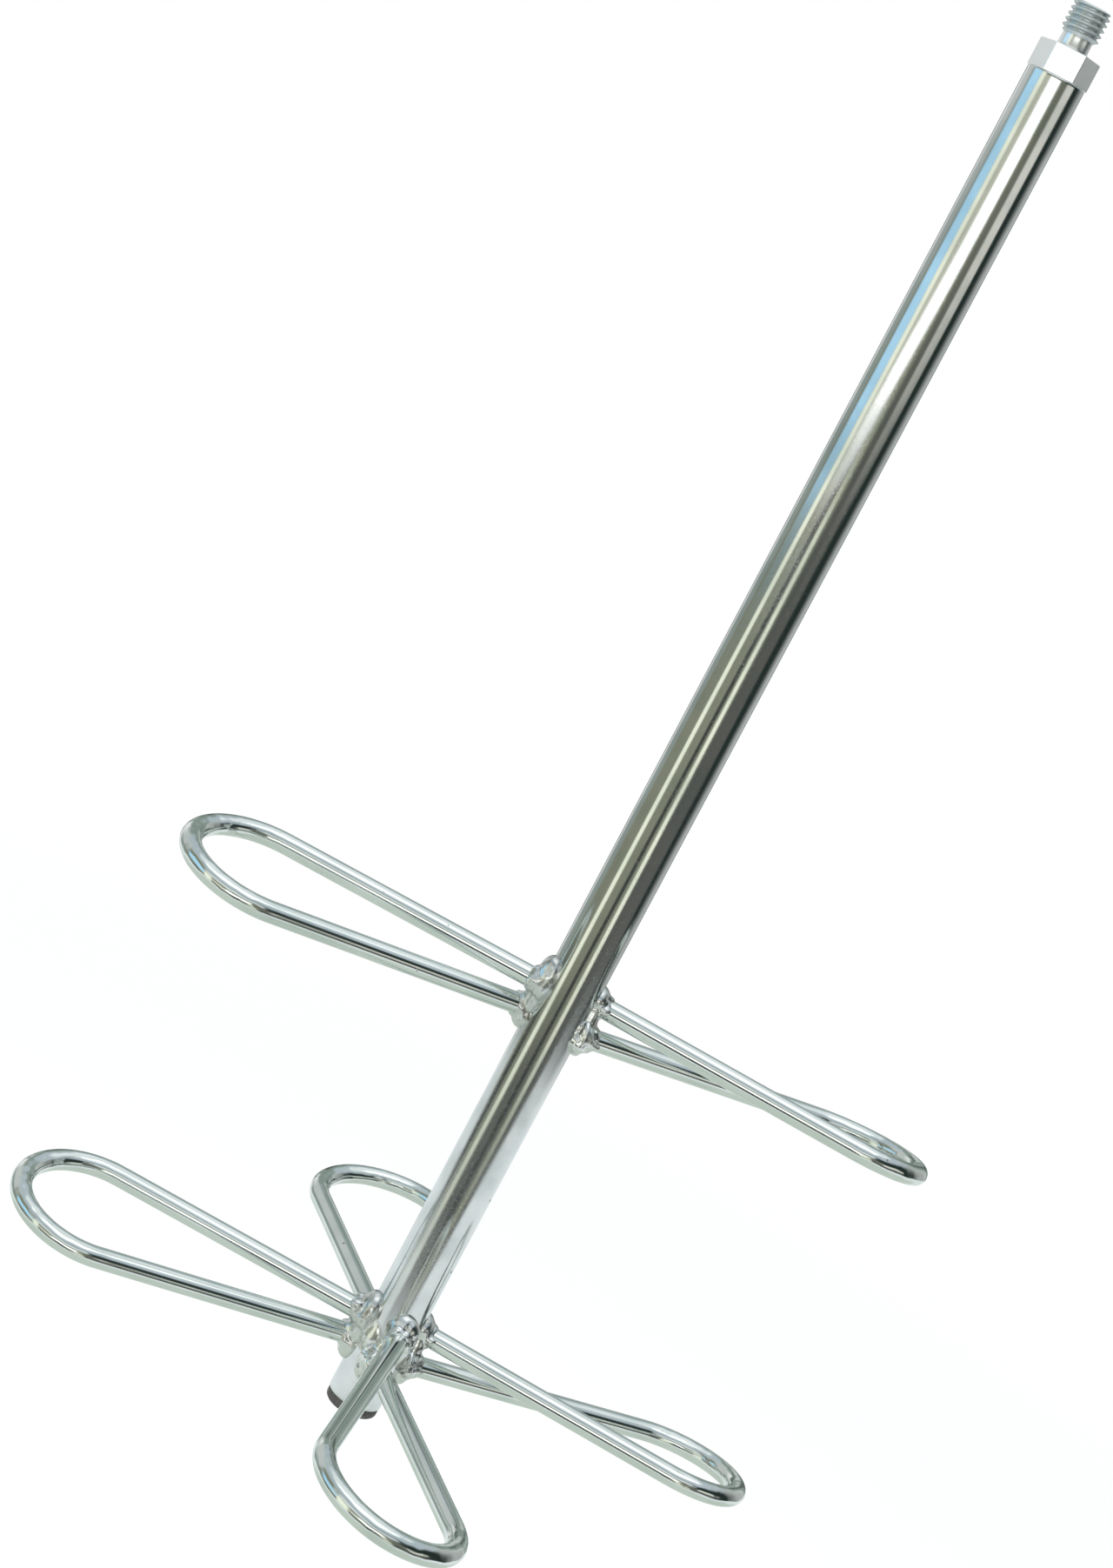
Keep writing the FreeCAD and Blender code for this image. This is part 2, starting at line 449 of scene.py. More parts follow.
@dataclass(frozen=True)
class ScuffedPlastic:
    """Dark moulded plastic with pale scuffs, as on the end plug."""

    name: str
    base: Colour = (0.075, 0.070, 0.064)
    scuff: Colour = (0.23, 0.22, 0.20)
    roughness: float = 0.52
    grain_scale: float = 1800.0
    grain_depth: float = 0.00003
    wear_scale: float = 260.0
    wear_depth: float = 0.00010
    scratch_scale: float = 1500.0

    def material(self) -> bpy.types.Material:
        """Builds the material and returns it."""
        made = bpy.data.materials.new(self.name)
        made.use_nodes = True
        shader = Shader(made.node_tree)
        plain = shader.place((1.0, 1.0, 1.0))
        grain = shader.noise(plain, self.grain_scale, 3.0, 0.6)
        wear = shader.noise(plain, self.wear_scale, 5.0, 0.65)
        scratches = shader.noise(shader.place((1.0, 0.15, 0.15)), self.scratch_scale)
        scuffed = wear.between(0.52, 0.68) * 0.6 + scratches.between(0.64, 0.74) * 0.5
        colour = shader.mix(scuffed, self.base, self.scuff)
        rough = self.roughness + grain * 0.12 - scuffed * 0.12
        normal = shader.bump(grain, self.grain_depth)
        normal = shader.bump(wear, self.wear_depth, normal)
        bsdf = shader.node(
            "ShaderNodeBsdfPrincipled",
            {},
            {"Base Color": colour, "Roughness": rough, "Normal": normal},
        )
        shader.node("ShaderNodeOutputMaterial", {}, {"Surface": bsdf[0]})
        return made


TUBE_ZINC = Zinc("zinc_tube", speckle_depth=0.0000022, streak_depth=0.000001)
ROD_ZINC = Zinc(
    "zinc_rod",
    tint=(0.82, 0.855, 0.835),
    shade=(0.72, 0.77, 0.745),
    roughness_low=0.10,
    roughness_high=0.14,
    grain_roughness=0.02,
    speckle_depth=0.0,
    dent_depth=0.0006,
)
TURNED_ZINC = Zinc(
    "zinc_turned",
    tint=(0.92, 0.925, 0.93),
    shade=(0.86, 0.875, 0.88),
    roughness_low=0.17,
    roughness_high=0.22,
    grain_roughness=0.03,
    speckle_depth=0.0,
    metal=0.84,
    dull_above=0.5588,
)
WELD_ZINC = Zinc(
    "zinc_weld",
    tint=(0.82, 0.835, 0.825),
    shade=(0.68, 0.70, 0.69),
    roughness_low=0.17,
    roughness_high=0.25,
    grain_roughness=0.04,
    speckle_depth=0.000001,
    lump_scale=170.0,
    lump_depth=0.00002,
    pit_scale=220.0,
    pit_share=0.06,
)
PLUG_PLASTIC = ScuffedPlastic("dark_plug")


def dress(
    piece: bpy.types.Object, finish: bpy.types.Material, nodes: list[str]
) -> bpy.types.Object:
    """Gives a piece its finish and its place in the frame.

    Args:
        piece: The finished object.
        finish: Its material.
        nodes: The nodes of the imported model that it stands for.

    Returns:
        The same object.
    """
    piece.data.materials.clear()
    piece.data.materials.append(finish)
    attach(piece, "root")
    if nodes:
        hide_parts(*nodes)
    LOG.info("%s: %d faces, %s", piece.name, len(piece.data.polygons), finish.name)
    return piece


@dataclass
class ShaftTube:
    """The zinc plated steel tube."""

    outer_radius: float = 0.01065
    wall: float = 0.00265
    foot: float = 0.004
    length: float = 0.540
    rim_round: float = 0.00045
    rim_ring: float = 0.0012
    sides: int = 160

    def build(self) -> bpy.types.Object:
        """Models the open tube with rounded rims and returns it."""
        Bench.clear()
        bpy.ops.mesh.primitive_cylinder_add(
            vertices=self.sides,
            radius=self.outer_radius,
            depth=self.length,
            end_fill_type="NOTHING",
            location=(0.0, 0.0, self.foot + self.length / 2),
        )
        tube = bpy.context.object
        tube.name = "plated_tube"
        bpy.ops.object.transform_apply(location=True)
        Bench.modifier(tube, "SOLIDIFY", thickness=self.wall, offset=-1.0)
        Bench.modifier(
            tube, "BEVEL", width=self.rim_round, segments=3, limit_method="ANGLE", angle_limit=1.0
        )
        top = self.foot + self.length
        Bench.slice(tube, [self.foot + self.rim_ring, top - self.rim_ring])
        return Bench.settle(tube, 40.0)


@dataclass
class ThreadedAdapter:
    """The turned piece in the tube's top: spigot, hexagon, neck and threaded stud."""

    tube_top: float = 0.544
    across_flats: float = 0.0195
    hex_height: float = 0.010
    hex_turn_deg: float = -12.7
    hex_edge: float = 0.00025
    neck_radius: float = 0.0055
    neck_length: float = 0.005
    stud_radius: float = 0.007
    stud_length: float = 0.011
    stud_chamfer: float = 0.0009
    pitch: float = 0.002
    root_radius: float = 0.00580
    spigot_radius: float = 0.00795
    spigot_length: float = 0.016
    spigot_chamfer: float = 0.0012
    thread_points: int = 72

    def build(self) -> bpy.types.Object:
        """Models the adapter as one piece and returns it."""
        nut = Bench.settle(self._hexagon(), 12.0)
        core = Bench.settle(self._core(), 32.0)
        stud = Bench.settle(self._thread(), 32.0)
        return Bench.settle(Bench.join("threaded_stud_adapter", [nut, core, stud]), None)

    def _hexagon(self) -> bpy.types.Object:
        """The hexagon, with its edges lightly broken."""
        Bench.clear()
        bpy.ops.mesh.primitive_circle_add(
            vertices=6,
            radius=self.across_flats / 2 / math.cos(math.pi / 6),
            fill_type="NGON",
            location=(0.0, 0.0, self.tube_top),
            rotation=(0.0, 0.0, math.radians(30.0 + self.hex_turn_deg)),
        )
        nut = bpy.context.object
        bpy.ops.object.transform_apply(location=True, rotation=True)
        bpy.ops.object.mode_set(mode="EDIT")
        bpy.ops.mesh.select_all(action="SELECT")
        bpy.ops.mesh.extrude_region_move(
            TRANSFORM_OT_translate={"value": (0.0, 0.0, self.hex_height)}
        )
        bpy.ops.object.mode_set(mode="OBJECT")
        Bench.modifier(nut, "BEVEL", width=self.hex_edge, segments=2, limit_method="ANGLE")
        return nut

    def _core(self) -> bpy.types.Object:
        """The spigot inside the tube and the neck above the hexagon."""
        spigot, neck = self.spigot_radius, self.neck_radius
        shoulder = self.tube_top + self.hex_height
        stud_foot = shoulder + self.neck_length
        low = self.tube_top - self.spigot_length
        return Bench.turned(
            "adapter_core",
            [
                (spigot - self.spigot_chamfer, low),
                (spigot, low + self.spigot_chamfer),
                (spigot, self.tube_top + 0.001),
                (neck + 0.0006, shoulder - 0.001),
                (neck + 0.0006, shoulder + 0.0001),
                (neck + 0.0001, shoulder + 0.0006),
                (neck, shoulder + 0.0012),
                (neck - 0.0001, stud_foot - 0.0011),
                (neck - 0.0001, stud_foot - 0.0003),
                (neck - 0.0003, stud_foot + 0.0012),
            ],
            TURNED_SIDES,
        )

    def _thread(self) -> bpy.types.Object:
        """The stud with a true helical thread, chamfered at both ends."""
        foot = self.tube_top + self.hex_height + self.neck_length
        tip = foot + self.stud_length
        stud = self._helix(foot)
        Bench.choose(stud)
        bpy.ops.object.mode_set(mode="EDIT")
        bpy.ops.mesh.select_all(action="SELECT")
        bpy.ops.mesh.remove_doubles(threshold=THREAD_POINT)
        for height, upward in ((foot - 0.0006, False), (tip + 0.0006, True)):
            bpy.ops.mesh.select_all(action="SELECT")
            bpy.ops.mesh.bisect(
                plane_co=(0.0, 0.0, height),
                plane_no=(0.0, 0.0, 1.0),
                use_fill=True,
                clear_outer=upward,
                clear_inner=not upward,
            )
        bpy.ops.mesh.select_all(action="SELECT")
        bpy.ops.mesh.normals_make_consistent(inside=False)
        bpy.ops.object.mode_set(mode="OBJECT")
        crest, narrow = self.stud_radius + 0.0001, self.stud_radius - self.stud_chamfer
        blank = Bench.turned(
            "stud_blank",
            [
                (self.root_radius - 0.0003, foot),
                (crest, foot + 0.0012),
                (crest, tip - self.stud_chamfer),
                (narrow, tip - 0.00002),
                (narrow - 0.0002, tip),
            ],
            TURNED_SIDES,
        )
        Bench.modifier(stud, "BOOLEAN", object=blank, operation="INTERSECT", solver="EXACT")
        bpy.data.objects.remove(blank)
        return stud

    def _helix(self, foot: float) -> bpy.types.Object:
        """Winds one thread profile round the stud's axis.

        Args:
            foot: Height of the stud's lower end.

        Returns:
            The thread's open skin, about two turns longer than the stud at either end.
        """
        crest, root = self.stud_radius, self.root_radius
        steps = [
            (root, 0.00030),
            (root + 0.00012, 0.00012),
            (crest - 0.00010, 0.00056),
            (crest, 0.00010),
            (crest, 0.00018),
            (crest - 0.00010, 0.00010),
            (root + 0.00012, 0.00056),
            (root, 0.00008),
        ]
        Bench.clear()
        low = foot - 2 * self.pitch
        bpy.ops.mesh.primitive_plane_add(size=0.001, location=(0.0, 0.0, 0.0))
        stud = bpy.context.object
        bpy.ops.object.mode_set(mode="EDIT")
        bpy.ops.mesh.select_all(action="SELECT")
        bpy.ops.mesh.merge(type="CENTER")
        bpy.ops.transform.translate(value=(root, 0.0, low))
        radius = root
        for next_radius, rise in steps:
            bpy.ops.mesh.extrude_vertices_move(
                TRANSFORM_OT_translate={"value": (next_radius - radius, 0.0, rise)}
            )
            radius = next_radius
        bpy.ops.object.mode_set(mode="OBJECT")
        turns = int(math.ceil((self.stud_length + 4 * self.pitch) / self.pitch))
        Bench.modifier(
            stud,
            "SCREW",
            screw_offset=self.pitch,
            iterations=turns,
            steps=self.thread_points,
            render_steps=self.thread_points,
            use_merge_vertices=True,
            merge_threshold=THREAD_POINT,
        )
        return stud


@dataclass
class EndPlug:
    """The plastic plug pressed into the tube's foot."""

    flange_radius: float = 0.0103
    flange_height: float = 0.004
    chamfer: float = 0.0008
    insert_radius: float = 0.00795
    insert_length: float = 0.014
    wall: float = 0.0018

    def build(self) -> bpy.types.Object:
        """Models the flange, its rounded edge and its hollow insert, and returns the plug."""
        edge, high, slope = self.flange_radius, self.flange_height, self.chamfer
        insert, bore = self.insert_radius, self.insert_radius - self.wall
        top = high + self.insert_length
        plug = Bench.turned(
            "foot_plug",
            [
                (0.0012, 0.00035),
                (0.0020, 0.00005),
                (0.0030, 0.0),
                (edge - slope - 0.0003, 0.0),
                (edge - slope + 0.0001, 0.00008),
                (edge - 0.0002, slope - 0.0002),
                (edge, slope + 0.0003),
                (edge, high - 0.0003),
                (edge - 0.0002, high),
                (insert, high),
                (insert, top - 0.001),
                (insert - 0.0006, top),
                (bore, top),
                (bore, high),
            ],
            TURNED_SIDES,
        )
        return Bench.settle(plug, 38.0)


@dataclass(frozen=True)
class LoopPlace:
    """Where one loop is welded on, and how far its two welds climb along the tube."""

    name: str
    height: float
    direction_deg: float
    upper_climb: float
    lower_climb: float
    seed: int
    bridged: bool = False

    def matrix(self) -> Matrix:
        """Takes a loop modelled along +X at height 0 to its own place."""
        turn = Matrix.Rotation(math.radians(self.direction_deg), 4, "Z")
        return Matrix.Translation((0.0, 0.0, self.height)) @ turn


LOOP_PLACES = [
    LoopPlace("lower_right", 0.031, 0.0, 0.0040, 0.0040, 11, True),
    LoopPlace("lower_back", 0.031, 90.0, 0.0050, 0.0045, 12, True),
    LoopPlace("lower_left", 0.031, 180.0, 0.0055, 0.0050, 13, True),
    LoopPlace("lower_front", 0.031, 270.0, 0.0050, 0.0055, 14, True),
    LoopPlace("upper_right", 0.1755, 0.0, 0.0030, 0.0035, 15),
    LoopPlace("upper_left", 0.1755, 180.0, 0.0070, 0.0040, 16),
]


@dataclass
class StirringLoop:
    """One loop, bent from a round rod, with its two legs twisted out of the horizontal plane."""

    rod_radius: float = 0.004
    reach: float = 0.148
    half_width: float = 0.027
    tilt_deg: float = 7.7
    leg_spacing: float = 0.012
    leg_offset: float = 0.0025
    tube_radius: float = 0.01065
    start: float = 0.0086
    sides: int = 40
    bend_steps: int = 36

    def root(self, leg: Leg) -> Vector:
        """Where a leg's axis meets the tube."""
        side = leg.value
        return Vector((self.tube_radius, side * self.leg_offset, side * self.leg_spacing / 2))

    def corner(self, leg: Leg) -> Vector:
        """Where a leg's line would meet the line of the loop's far end."""
        run = self.reach - self.half_width - self.tube_radius
        spread = math.asin(self.half_width / math.hypot(run, self.leg_offset))
        slope = math.tan(math.atan2(self.leg_offset, run) + spread)
        across = -leg.value * (slope * (self.reach - self.tube_radius) - self.leg_offset)
        return Vector((self.reach, across, -across * math.tan(math.radians(self.tilt_deg))))

    def along(self, leg: Leg) -> Vector:
        """The direction in which a leg leaves the tube."""
        return (self.corner(leg) - self.root(leg)).normalized()

    def on_leg(self, leg: Leg, out: float) -> Vector:
        """The point of a leg's axis at a distance out from the shaft's axis."""
        root, along = self.root(leg), self.along(leg)
        return root + along * ((out - root.x) / along.x)

    def build(self) -> bpy.types.Object:
        """Bends the rod: leg, two half bends that meet at the tip, leg.

        Returns:
            The rod along +X at height 0.
        """
        first, last = Leg.UPPER, Leg.LOWER
        tip = (self.corner(first) + self.corner(last)) / 2
        reach = (tip - self.corner(first)).length
        bend_from = self.corner(first) - self.along(first) * reach
        bend_to = self.corner(last) - self.along(last) * reach
        begin = self.on_leg(first, self.start)
        finish = self.on_leg(last, self.start)
        across = (self.corner(last) - self.corner(first)).normalized()
        Bench.clear()
        bpy.ops.mesh.primitive_circle_add(
            vertices=self.sides,
            radius=self.rod_radius,
            fill_type="NOTHING",
            location=begin,
            rotation=self.along(first).to_track_quat("Z", "Y").to_euler(),
        )
        rod = bpy.context.object
        rod.name = "bent_rod"
        bpy.ops.object.transform_apply(location=True, rotation=True)
        bpy.ops.object.mode_set(mode="EDIT")
        bpy.ops.mesh.select_all(action="SELECT")
        bpy.ops.mesh.extrude_region_move(TRANSFORM_OT_translate={"value": bend_from - begin})
        self._bend(bend_from, tip, self.along(first), across)
        self._bend(tip, bend_to, across, -self.along(last))
        bpy.ops.mesh.extrude_region_move(TRANSFORM_OT_translate={"value": finish - bend_to})
        bpy.ops.mesh.select_all(action="SELECT")
        bpy.ops.mesh.fill_holes(sides=0)
        bpy.ops.object.mode_set(mode="OBJECT")
        return Bench.settle(rod, 40.0)

    def _bend(self, begin: Vector, end: Vector, before: Vector, after: Vector) -> None:
        """Spins the selected ring along an arc.

        Args:
            begin: Where the arc starts.
            end: Where it ends.
            before: The rod's direction at its start.
            after: The rod's direction at its end.
        """
        angle = before.angle(after)
        axis = before.cross(after).normalized()
        radius = (end - begin).length / 2 / math.sin(angle / 2)
        centre = begin + axis.cross(before).normalized() * radius
        bpy.ops.mesh.spin(steps=self.bend_steps, angle=-angle, center=centre, axis=axis)

    def copy_to(self, model: bpy.types.Object, place: LoopPlace) -> bpy.types.Object:
        """Copies the modelled rod to one place on the tube.

        Args:
            model: The rod along +X.
            place: Where the copy goes.

        Returns:
            The copy, with its own mesh.
        """
        Bench.choose(model)
        bpy.ops.object.duplicate(linked=False)
        copy = bpy.context.object
        copy.name = f"rod_loop_{place.name}"
        copy.matrix_world = place.matrix()
        bpy.ops.object.transform_apply(location=True, rotation=True, scale=True)
        return copy


@dataclass
class WeldMass:
    """The hand-laid weld that joins both legs of one loop to the tube."""

    loop: StirringLoop
    collar_end: float = 0.0164
    voxel: float = 0.00042
    smoothings: int = 14
    drops: int = 4
    bridge_deg: float = 45.0
    wave_scale: float = 190.0
    wave_depth: float = 0.0003
    valley_scale: float = 130.0
    valley_depth: float = 0.0007
    valleys_from: float = 0.0126
    valleys_fade: float = 0.0025
    wall_inside: float = 0.0088

    def build(self, place: LoopPlace) -> bpy.types.Object:
        """Lays lumps round the leg roots, melts them together and roughens the result.

        Args:
            place: Which loop the weld belongs to.

        Returns:
            The weld as one closed mesh.
        """
        dice = random.Random(place.seed)
        lumps: list[bpy.types.Object] = []
        for leg, climb in ((Leg.UPPER, place.upper_climb), (Leg.LOWER, place.lower_climb)):
            lumps += self._collar(leg, dice)
            lumps += self._puddle(leg, climb, dice)
            lumps += self._crust(leg, dice)
        lumps.append(Bench.lump(Vector((0.0112, 0.0, 0.0)), (0.0038, 0.0050, 0.0095)))
        if place.bridged:
            turn = math.radians(self.bridge_deg)
            at = Matrix.Rotation(turn, 3, "Z") @ Vector((0.0098, 0.0, 0.0005))
            lumps.append(Bench.lump(at, (0.0021, 0.0046, 0.0078), (0.0, 0.0, turn)))
        weld = Bench.join(f"weld_{place.name}", lumps)
        Bench.choose(weld)
        bpy.ops.object.transform_apply(location=True, rotation=True, scale=True)
        Bench.modifier(weld, "REMESH", mode="VOXEL", voxel_size=self.voxel, adaptivity=0.0)
        Bench.modifier(weld, "SMOOTH", factor=0.5, iterations=self.smoothings)
        self._roughen(weld, place.seed)
        weld.matrix_world = place.matrix()
        return Bench.settle(weld, 60.0)

    def _collar(self, leg: Leg, dice: random.Random) -> list[bpy.types.Object]:
        """The sleeve of weld metal round one leg, thicker towards the tube."""
        lumps = []
        along = self.loop.along(leg)
        turn = along.to_track_quat("Z", "Y").to_euler()
        for out, radius in ((0.0100, 0.0066), (0.0122, 0.0062), (0.0141, 0.0056), (0.0154, 0.0050)):
            at = self.loop.on_leg(leg, out)
            at += Vector((0.0, dice.uniform(-0.3, 0.3), dice.uniform(-0.3, 0.3))) * 0.001
            lumps.append(Bench.lump(at, (radius, radius, 0.0022), turn))
        return lumps

    def _puddle(self, leg: Leg, climb: float, dice: random.Random) -> list[bpy.types.Object]:
        """The smooth bulge that climbs the tube above or below one leg."""
        side = leg.value
        middle = self.loop.leg_spacing / 2 + 0.0025
        at = Vector((0.0107, side * 0.0020, side * middle))
        lumps = [Bench.lump(at, (0.0046, 0.0066, climb + 0.0020))]
        ranges = ((0.0, 0.6), (-2.5, 2.5), (-1.5, 1.5))
        for _ in range(2):
            shift = Vector([dice.uniform(low, high) for low, high in ranges])
            radius = dice.uniform(0.0028, 0.0038)
            lumps.append(Bench.lump(at + shift * 0.001, (radius, radius, radius * 1.2)))
        return lumps

    def _crust(self, leg: Leg, dice: random.Random) -> list[bpy.types.Object]:
        """Small frozen drops round the place where a leg leaves the weld."""
        lumps = []
        along = self.loop.along(leg)
        across = along.cross(UP).normalized()
        above = across.cross(along).normalized()
        for step in range(self.drops):
            angle = math.radians(-10.0 + 65.0 * step) + dice.uniform(-0.3, 0.3)
            away = across * math.cos(angle) + above * math.sin(angle)
            out = dice.uniform(0.0128, self.collar_end - 0.0006)
            at = self.loop.on_leg(leg, out) + away * dice.uniform(0.0034, 0.0042)
            radius = dice.uniform(0.0017, 0.0026)
            lumps.append(Bench.lump(at, (radius * 1.3, radius, radius)))
        return lumps

    def _roughen(self, weld: bpy.types.Object, seed: int) -> None:
        """Moves the weld's points in and out by smooth noise, and keeps it out of the bore."""
        normals = [vert.normal.copy() for vert in weld.data.vertices]
        drift = Vector((seed * 3.1, seed * 1.7, seed * 0.9))
        for vert, normal in zip(weld.data.vertices, normals):
            away = Vector((vert.co.x, vert.co.y, 0.0))
            outer = min(max((away.length - self.valleys_from) / self.valleys_fade, 0.0), 1.0)
            wave = noise.noise(vert.co * self.wave_scale + drift) * self.wave_depth
            crease = abs(noise.noise(vert.co * self.valley_scale - drift))
            valley = max(0.0, 1.0 - 3.0 * crease) * -self.valley_depth
            vert.co += normal * (wave + valley * outer)
            away = Vector((vert.co.x, vert.co.y, 0.0))
            if 1e-6 < away.length < self.wall_inside:
                away *= self.wall_inside / away.length
                vert.co.x, vert.co.y = away.x, away.y


@dataclass
class Studio:
    """Camera, soft lamps, pale floor and the room that the zinc mirrors."""

    camera_place: tuple[float, float, float] = (-0.2251283, -0.9950042, 0.4641611)
    camera_right: tuple[float, float, float] = (0.88891368, -0.06780715, 0.45302833)
    camera_ahead: tuple[float, float, float] = (0.17898894, 0.96177441, -0.20725092)
    focal_px: float = 3339.5
    picture_height_px: float = 1803.0
    aim_height: float = 0.25
    floor_height: float = -0.25
    floor_radius: float = 6.0
    floor_grey: float = 0.93
    floor_glow_near: float = 0.45
    room: dict[str, Colour] = field(
        default_factory=lambda: {
            "white": (1.0, 1.0, 1.0),
            "zenith": (1.42, 1.47, 1.48),
            "far_sky": (0.86, 0.91, 0.93),
            "pale_sky": (0.80, 0.85, 0.87),
            "ceiling": (0.50, 0.57, 0.62),
            "floor_near": (0.83, 0.89, 0.90),
            "floor": (0.60, 0.67, 0.61),
            "olive": (0.25, 0.265, 0.20),
            "dusk": (0.055, 0.060, 0.056),
            "umber": (0.110, 0.114, 0.104),
            "black": (0.020, 0.032, 0.029),
            "window": (0.50, 0.82, 1.06),
            "cream": (1.00, 1.04, 0.86),
            "tan": (0.57, 0.58, 0.48),
            "blue_grey": (0.31, 0.36, 0.34),
            "grey_green": (0.27, 0.33, 0.30),
            "grey": (0.58, 0.61, 0.60),
            "pale_wall": (0.74, 0.74, 0.68),
            "half_grey": (0.46, 0.48, 0.47),
            "lamp": (1.80, 1.80, 1.77),
        }
    )

    def build(self) -> None:
        """Sets up the camera, the room, the lamps and the floor."""
        self._camera()
        self._world()
        self._lamps()
        self._floor()
        bpy.context.scene.view_settings.view_transform = "Standard"

    def _camera(self) -> None:
        """Places the camera at the photograph's viewing angle."""
        data = bpy.data.cameras.new("photo_camera")
        data.sensor_width = 36.0
        data.lens = self.focal_px * data.sensor_width / self.picture_height_px
        data.clip_start = 0.01
        data.clip_end = 50.0
        camera = bpy.data.objects.new("photo_camera", data)
        bpy.context.scene.collection.objects.link(camera)
        right = Vector(self.camera_right)
        back = -Vector(self.camera_ahead)
        above = back.cross(right)
        turn = Matrix((right, above, back)).transposed().to_4x4()
        camera.matrix_world = Matrix.Translation(self.camera_place) @ turn
        bpy.context.scene.camera = camera

    def _world(self) -> None:
        """Writes the room round the object: white for the camera, a studio for the metal.

        The azimuth is 0 towards the photograph's camera and grows to its right, in degrees.
        """
        world = bpy.data.worlds.new("studio_room")
        bpy.context.scene.world = world
        world.use_nodes = True
        shader = Shader(world.node_tree)
        way = shader.node("ShaderNodeTexCoord", {}, {})["Generated"]
        heading = Vector((self.camera_place[0], self.camera_place[1], 0.0)).normalized()
        sideways = UP.cross(heading)
        to_camera = self._dot(shader, way, heading)
        to_right = self._dot(shader, way, sideways)
        sides = {0: to_right, 1: to_camera}
        turn = shader.node("ShaderNodeMath", {"operation": "ARCTAN2"}, sides)
        azimuth = turn[0] * DEGREES
        rise = shader.node("ShaderNodeMath", {"operation": "ARCSINE"}, {0: shader.axes(way)["Z"]})
        height = rise[0] * DEGREES
        colour = self._room(shader, azimuth, height)
        seen = shader.node("ShaderNodeLightPath", {}, {})["Is Camera Ray"]
        colour = shader.mix(seen, colour, self.room["white"])
        light = shader.node("ShaderNodeBackground", {}, {"Color": colour, "Strength": 1.0})
        shader.node("ShaderNodeOutputWorld", {}, {"Surface": light[0]})

    @staticmethod
    def _dot(shader: Shader, way: Sock, axis: Vector) -> Sock:
        """How far a direction points along an axis."""
        settings = {"operation": "DOT_PRODUCT"}
        return shader.node("ShaderNodeVectorMath", settings, {0: way, 1: tuple(axis)})["Value"]

    def _room(self, shader: Shader, azimuth: Sock, height: Sock) -> Sock:
        """The colours of the room by direction, laid one over another like coats of paint.

        Each mask is a product of steps and bands in degrees. The lamp slants: what is added to
        its azimuth slides it sideways as it rises.

        Args:
            shader: The world's node tree.
            azimuth: Direction round the object in degrees.
            height: Height of the direction above the horizon in degrees.

        Returns:
            The room's colour.
        """
        right = azimuth.band(49.0, 80.0, 5.0) * height.between(-5.5, 2.0)
        slide = height.between(-5.0, 1.5) * -25.0 + 25.0
        beside = azimuth.between(84.0, 104.0) + azimuth.between(-84.0, -104.0)
        behind = azimuth.between(-128.0, -158.0) + azimuth.between(138.0, 170.0)
        middle = azimuth.between(-150.0, -158.0) + azimuth.between(148.0, 156.0)
        posts = azimuth.band(162.0, 169.0, 2.0) + azimuth.band(-169.0, -162.0, 2.0)
        door = azimuth.between(171.0, 175.0) + azimuth.between(-171.0, -175.0)
        ends = height.between(-24.0, -15.0)
        low = height.between(-20.5, -14.0)
        coats = (
            # The dim front of the room
            ("olive", height.between(-4.0, 3.0) * 0.5),
            ("black", (azimuth + height * 1.7).between(58.0, 68.0)),
            # A pale wall on the right and grey walls on the left
            ("pale_wall", right * height.between(14.0, 9.0)),
            ("blue_grey", azimuth.between(-99.0, -112.0)),
            ("grey", azimuth.between(-92.0, -112.0) * height.between(-1.0, 4.0)),
            # Dark things near the floor, and a dark seam between two panels
            ("dusk", azimuth.band(-91.0, -71.0, 5.0) * height.between(-13.0, -17.0)),
            ("umber", azimuth.band(-36.0, 12.0, 5.0) * height.between(-15.0, -17.5)),
            ("dusk", azimuth.band(-11.0, 2.0, 3.0) * height.between(-2.0, -5.0)),
            # The window with its warm frame, two light strips, the slanting lamp and the blind
            ("tan", azimuth.band(-62.0, -16.0, 6.0) * height.band(-4.0, 9.0, 1.5)),
            ("window", azimuth.band(-95.0, -57.0, 6.0) * height.band(-4.7, 16.0, 1.3)),
            ("cream", azimuth.band(-57.0, -41.0, 3.5) * height.between(22.0, 12.0) * ends),
            ("cream", (azimuth + height).band(0.5, 14.5, 3.0) * height.between(-3.5, -6.0) * low),
            ("lamp", (azimuth + slide).band(-19.0, 20.0, 5.0) * height.band(-3.2, 10.0, 1.8)),
            ("pale_sky", azimuth.band(-58.0, 40.0, 10.0) * height.band(20.0, 34.0, 3.0)),
            # The far right, and the wall behind with its dark posts and grey door
            ("half_grey", azimuth.between(96.0, 138.0)),
            ("white", behind),
            ("grey_green", middle),
            ("dusk", posts * 0.7),
            ("grey", door * height.between(1.0, 7.0)),
            ("grey_green", behind * height.between(13.0, 24.0)),
            # The ceiling
            ("ceiling", height.between(30.0, 44.0)),
            ("zenith", height.between(54.0, 66.0)),
            ("far_sky", beside * height.between(50.0, 58.0)),
        )
        colour = shader.mix(azimuth.between(20.0, 34.0), self.room["olive"], self.room["umber"])
        for name, mask in coats:
            colour = shader.mix(mask, colour, self.room[name])
        edge = height + (azimuth.between(26.0, 64.0) + azimuth.between(-58.0, -110.0)) * -5.5
        edge = edge + azimuth.band(-72.0, -36.0, 8.0) * -1.4
        near, far = self.room["floor_near"], self.room["floor"]
        ground = shader.mix(height.between(-24.0, -38.0), near, far)
        return shader.mix(edge.between(-21.5, -23.5), colour, ground)

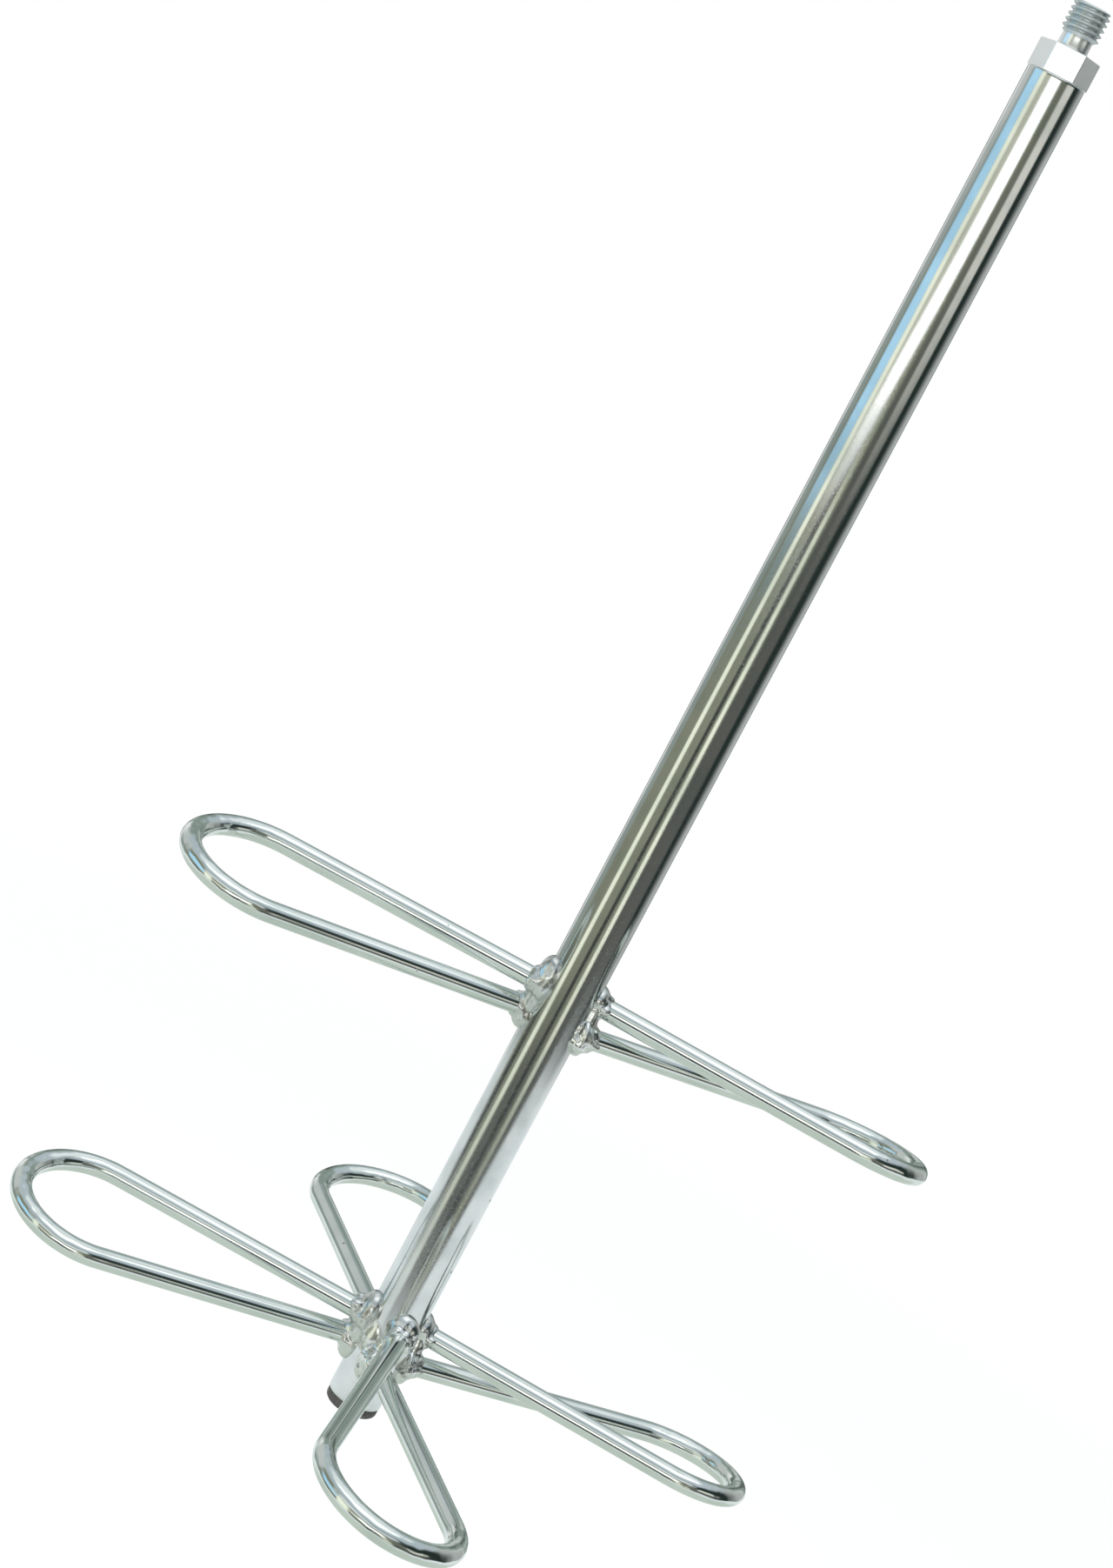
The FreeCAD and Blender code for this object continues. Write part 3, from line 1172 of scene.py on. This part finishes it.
    def _lamps(self) -> None:
        """Hangs one wide soft lamp above the object and a weaker one beside the camera."""
        for name, place, size, power in (
            ("lamp_above", (-0.25, -0.35, 1.75), 1.3, 27.0),
            ("lamp_side", (-1.3, -0.5, 1.5), 0.9, 4.0),
        ):
            data = bpy.data.lights.new(name, "AREA")
            data.shape = "DISK"
            data.size = size
            data.energy = power
            lamp = bpy.data.objects.new(name, data)
            bpy.context.scene.collection.objects.link(lamp)
            lamp.location = place
            aim = Vector((0.0, 0.0, self.aim_height)) - Vector(place)
            lamp.rotation_euler = aim.to_track_quat("-Z", "Y").to_euler()
            lamp.visible_glossy = False

    def _floor(self) -> None:
        """Lays the plain pale floor, which keeps the object's shadow."""
        Bench.clear()
        bpy.ops.mesh.primitive_circle_add(
            vertices=96,
            radius=self.floor_radius,
            fill_type="NGON",
            location=(0.0, 0.0, self.floor_height),
        )
        ground = bpy.context.object
        ground.name = "pale_floor"
        bpy.ops.object.transform_apply(location=True)
        material = bpy.data.materials.new("pale_floor")
        material.use_nodes = True
        material.cycles.emission_sampling = "NONE"
        shader = Shader(material.node_tree)
        away = shader.node("ShaderNodeVectorMath", {"operation": "LENGTH"}, {0: shader.point()})
        seen = shader.node("ShaderNodeLightPath", {}, {})["Is Camera Ray"]
        grey = (self.floor_grey, self.floor_grey, self.floor_grey, 1.0)
        matt = shader.node("ShaderNodeBsdfDiffuse", {}, {"Color": grey})[0]
        glow = shader.node("ShaderNodeEmission", {}, {"Strength": 1.0})[0]
        far = away["Value"].between(0.5, 1.5)
        share = seen * (self.floor_glow_near + far * (1.0 - self.floor_glow_near))
        both = shader.node("ShaderNodeMixShader", {}, {0: share, 1: matt, 2: glow})[0]
        shader.node("ShaderNodeOutputMaterial", {}, {"Surface": both})
        ground.data.materials.append(material)
        ground.visible_glossy = False
        ground.visible_shadow = False


def main() -> None:
    """Builds the scene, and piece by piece."""
    logging.basicConfig(level=logging.INFO, format="%(name)s: %(message)s")
    Studio().build()
    tube_zinc = TUBE_ZINC.material()
    rod_zinc = ROD_ZINC.material()
    weld_zinc = WELD_ZINC.material()
    dress(ShaftTube().build(), tube_zinc, ["shaft_tube"])
    adapter = ThreadedAdapter().build()
    dress(adapter, TURNED_ZINC.material(), ["threaded_adapter"])
    dress(EndPlug().build(), PLUG_PLASTIC.material(), ["end_plug"])
    loop = StirringLoop()
    welds = WeldMass(loop)
    model = loop.build()
    for place in LOOP_PLACES:
        rod = loop.copy_to(model, place)
        dress(rod, rod_zinc, [f"{place.name}_loop"])
        weld = welds.build(place)
        nodes = [f"{place.name}_top_weld", f"{place.name}_bottom_weld"]
        dress(weld, weld_zinc, nodes)
    bpy.data.objects.remove(model)


if __name__ == "__main__":
    main()
